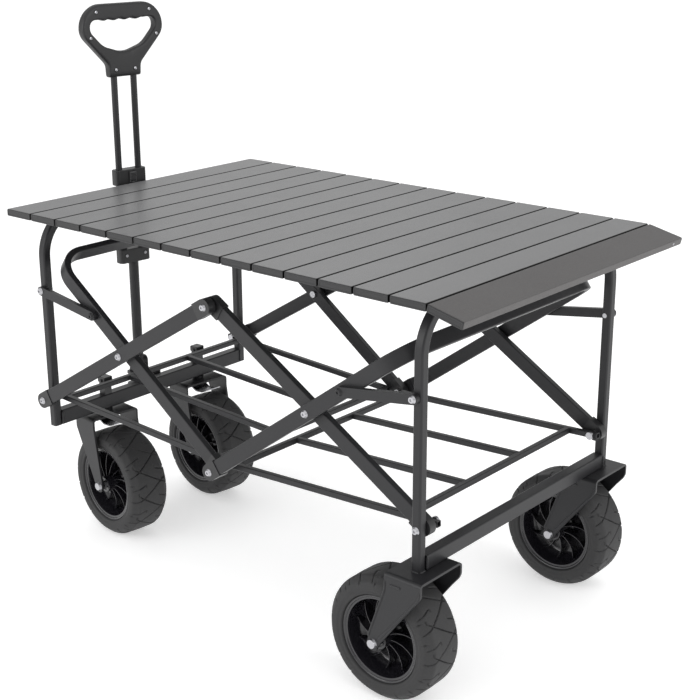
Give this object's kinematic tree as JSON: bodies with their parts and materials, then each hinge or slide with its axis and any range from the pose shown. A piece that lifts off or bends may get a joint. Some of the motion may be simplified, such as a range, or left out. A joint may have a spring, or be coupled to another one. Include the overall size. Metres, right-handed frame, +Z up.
{
  "type": "folding camp wagon",
  "caption": "Folding wagon frame with a slatted roll-up table top, wide tyres, swivel front casters and a telescoping pull handle.",
  "frame": {"origin": "on the ground under the middle of the whole wagon's box", "axes": "+Z up, X along the wagon with the pull handle at -X and the drooping end slat at +X, Y across"},
  "size_m": [1.0168, 0.6, 0.975],
  "materials": {
    "frame_steel": "satin charcoal powder coat",
    "slat_aluminium": "satin grey, finely speckled",
    "end_slat_aluminium": "dark grainy coat",
    "black_plastic": "moulded, lightly textured",
    "rim_plastic": "glossy black",
    "tyre_rubber": "matte rubber with a moulded tread",
    "fastener_steel": "zinc plated",
    "leaf_steel": "zinc plated",
    "kingpin_steel": "black oxide"
  },
  "bodies": {
    "front_frame": {"front_hoop": "frame_steel", "front_crossbar": "frame_steel", "caster_posts": "frame_steel", "front_frame_bolts": "fastener_steel", "handle_bracket": "frame_steel"},
    "front_bars": {"front_bar_near": "frame_steel", "front_bar_far": "frame_steel", "front_bar_caps": "black_plastic", "front_bar_bolts": "fastener_steel"},
    "rear_bars": {"rear_bar_near": "frame_steel", "rear_bar_far": "frame_steel", "rear_bar_caps": "black_plastic"},
    "front_u": {"front_u_bar": "frame_steel", "front_u_caps": "black_plastic"},
    "rear_u": {"rear_u_bar": "frame_steel", "rear_u_caps": "black_plastic", "u_bar_bolts": "fastener_steel"},
    "rear_frame": {"rear_hoop": "frame_steel", "rear_crossbar": "frame_steel", "rear_frame_bolts": "fastener_steel", "rear_fork_near": "frame_steel", "rear_fork_far": "frame_steel", "rear_axles": "fastener_steel"},
    "front_link_pair": {"front_links": "frame_steel"},
    "rear_link_pair": {"rear_links": "frame_steel"},
    "front_rack": {"front_rack_frame": "frame_steel", "front_rack_bars": "frame_steel"},
    "rear_rack": {"rear_rack_frame": "frame_steel", "rear_rack_bars": "frame_steel"},
    "table": {"table_slats": "slat_aluminium", "table_rails": "frame_steel", "slat_connectors": "black_plastic"},
    "end_slat": {"table_end_slat": "end_slat_aluminium"},
    "yoke": {"handle_yoke": "frame_steel", "handle_yoke_pins": "fastener_steel"},
    "handle_lower": {"handle_stem": "frame_steel", "handle_lower_collar": "black_plastic", "handle_sleeves": "frame_steel", "handle_upper_collar": "black_plastic"},
    "handle_upper": {"handle_rods": "frame_steel", "grip_front_half": "black_plastic", "grip_rear_half": "black_plastic", "grip_screws": "fastener_steel"},
    "latch": {"handle_latch": "black_plastic"},
    "caster_near": {"caster_fork_near": "frame_steel", "caster_kingpin_near": "kingpin_steel", "caster_axle_near": "fastener_steel"},
    "brake_near": {"caster_brake_near": "leaf_steel"},
    "front_wheel_near": {"front_tyre_near": "tyre_rubber", "front_rim_near": "rim_plastic"},
    "rear_wheel_near": {"rear_tyre_near": "tyre_rubber", "rear_rim_near": "rim_plastic"},
    "caster_far": {"caster_fork_far": "frame_steel", "caster_kingpin_far": "kingpin_steel", "caster_axle_far": "fastener_steel"},
    "brake_far": {"caster_brake_far": "leaf_steel"},
    "front_wheel_far": {"front_tyre_far": "tyre_rubber", "front_rim_far": "rim_plastic"},
    "rear_wheel_far": {"rear_tyre_far": "tyre_rubber", "rear_rim_far": "rim_plastic"}
  },
  "joints": [
    {"name": "frame_fold", "type": "hinge", "parent": "front_frame", "child": "front_bars", "pos_m": [-0.44099, 0, 0.292], "axis": [0, -1, 0], "range_deg": [0, 34.5]},
    {"name": "rear_bar_pivot", "type": "hinge", "parent": "front_bars", "child": "rear_bars", "pos_m": [-0.01699, 0, 0.548], "axis": [0, -1, 0], "range_deg": [-69.5, 0]},
    {"name": "rear_leg_pivot", "type": "hinge", "parent": "rear_bars", "child": "rear_frame", "pos_m": [0.40702, 0, 0.292], "axis": [0, -1, 0], "range_deg": [0, 35]},
    {"name": "front_u_pivot", "type": "hinge", "parent": "front_bars", "child": "front_u", "pos_m": [-0.22798, 0, 0.4206], "axis": [0, -1, 0], "range_deg": [-65.65, 0]},
    {"name": "rear_u_pivot", "type": "hinge", "parent": "front_u", "child": "rear_u", "pos_m": [-0.01699, 0, 0.267], "axis": [0, -1, 0], "range_deg": [0, 61.79]},
    {"name": "front_link_pivot", "type": "hinge", "parent": "front_frame", "child": "front_link_pair", "pos_m": [-0.43839, 0, 0.496], "axis": [0, -1, 0], "range_deg": [0, 66.74]},
    {"name": "rear_link_pivot", "type": "hinge", "parent": "rear_frame", "child": "rear_link_pair", "pos_m": [0.40442, 0, 0.496], "axis": [0, -1, 0], "range_deg": [-66.74, 0]},
    {"name": "front_rack_pivot", "type": "hinge", "parent": "front_frame", "child": "front_rack", "pos_m": [-0.44099, 0, 0.292], "axis": [0, -1, 0], "range_deg": [0, 86.75]},
    {"name": "rear_rack_pivot", "type": "hinge", "parent": "rear_frame", "child": "rear_rack", "pos_m": [0.40702, 0, 0.292], "axis": [0, -1, 0], "range_deg": [-55.7, 0]},
    {"name": "table_lift_off", "type": "slide", "parent": "front_frame", "child": "table", "axis": [0, 0, 1], "range_m": [0, 0.16]},
    {"name": "end_slat_fold", "type": "hinge", "parent": "table", "child": "end_slat", "pos_m": [0.44732, 0, 0.65], "axis": [0, -1, 0], "range_deg": [0, 150]},
    {"name": "caster_swivel_near", "type": "hinge", "parent": "front_frame", "child": "caster_near", "pos_m": [-0.44099, -0.12, 0.235], "axis": [0, 0, 1], "continuous": true},
    {"name": "front_wheel_spin_near", "type": "hinge", "parent": "caster_near", "child": "front_wheel_near", "pos_m": [-0.40518, -0.12376, 0.1013], "axis": [0.1045, 0.9945, 0], "continuous": true},
    {"name": "caster_brake_press_near", "type": "hinge", "parent": "caster_near", "child": "brake_near", "pos_m": [-0.46485, -0.11749, 0.2255], "axis": [0.1045, 0.9945, 0], "range_deg": [0, 7], "stiffness_Nm_per_rad": 3},
    {"name": "rear_wheel_spin_near", "type": "hinge", "parent": "rear_frame", "child": "rear_wheel_near", "pos_m": [0.35102, -0.243, 0.1013], "axis": [0, 1, 0], "continuous": true},
    {"name": "caster_swivel_far", "type": "hinge", "parent": "front_frame", "child": "caster_far", "pos_m": [-0.44099, 0.12, 0.235], "axis": [0, 0, 1], "continuous": true},
    {"name": "front_wheel_spin_far", "type": "hinge", "parent": "caster_far", "child": "front_wheel_far", "pos_m": [-0.40518, 0.11624, 0.1013], "axis": [0.1045, 0.9945, 0], "continuous": true},
    {"name": "caster_brake_press_far", "type": "hinge", "parent": "caster_far", "child": "brake_far", "pos_m": [-0.46485, 0.12251, 0.2255], "axis": [0.1045, 0.9945, 0], "range_deg": [0, 7], "stiffness_Nm_per_rad": 3},
    {"name": "rear_wheel_spin_far", "type": "hinge", "parent": "rear_frame", "child": "rear_wheel_far", "pos_m": [0.35102, 0.243, 0.1013], "axis": [0, 1, 0], "continuous": true},
    {"name": "handle_swivel", "type": "hinge", "parent": "front_frame", "child": "yoke", "pos_m": [-0.48048, 0, 0.272], "axis": [0, 0, 1], "range_deg": [-15, 29]},
    {"name": "handle_tilt", "type": "hinge", "parent": "yoke", "child": "handle_lower", "pos_m": [-0.48048, 0, 0.29], "axis": [-0.1219, -0.9925, 0], "range_deg": [0, 90]},
    {"name": "handle_extend", "type": "slide", "parent": "handle_lower", "child": "handle_upper", "axis": [-0.0035, 0.0004, 1], "range_m": [-0.085, 0.045]},
    {"name": "latch_press", "type": "slide", "parent": "handle_lower", "child": "latch", "axis": [-0.9925, 0.1219, -0.0035], "range_m": [0, 0.004], "stiffness_N_per_m": 400}
  ],
  "couplings": [
    {"joint": "rear_bar_pivot", "follows": "frame_fold", "ratio": -2},
    {"joint": "rear_leg_pivot", "follows": "frame_fold", "ratio": 1},
    {"joint": "front_u_pivot", "follows": "frame_fold", "ratio": -1.8883},
    {"joint": "rear_u_pivot", "follows": "frame_fold", "ratio": 1.7766},
    {"joint": "front_link_pivot", "follows": "frame_fold", "ratio": 1.92},
    {"joint": "rear_link_pivot", "follows": "frame_fold", "ratio": -1.92},
    {"joint": "front_rack_pivot", "follows": "frame_fold", "ratio": 2.5},
    {"joint": "rear_rack_pivot", "follows": "frame_fold", "ratio": -1.6},
    {"joint": "table_lift_off", "follows": "frame_fold", "m_per_rad": 0.26}
  ]
}
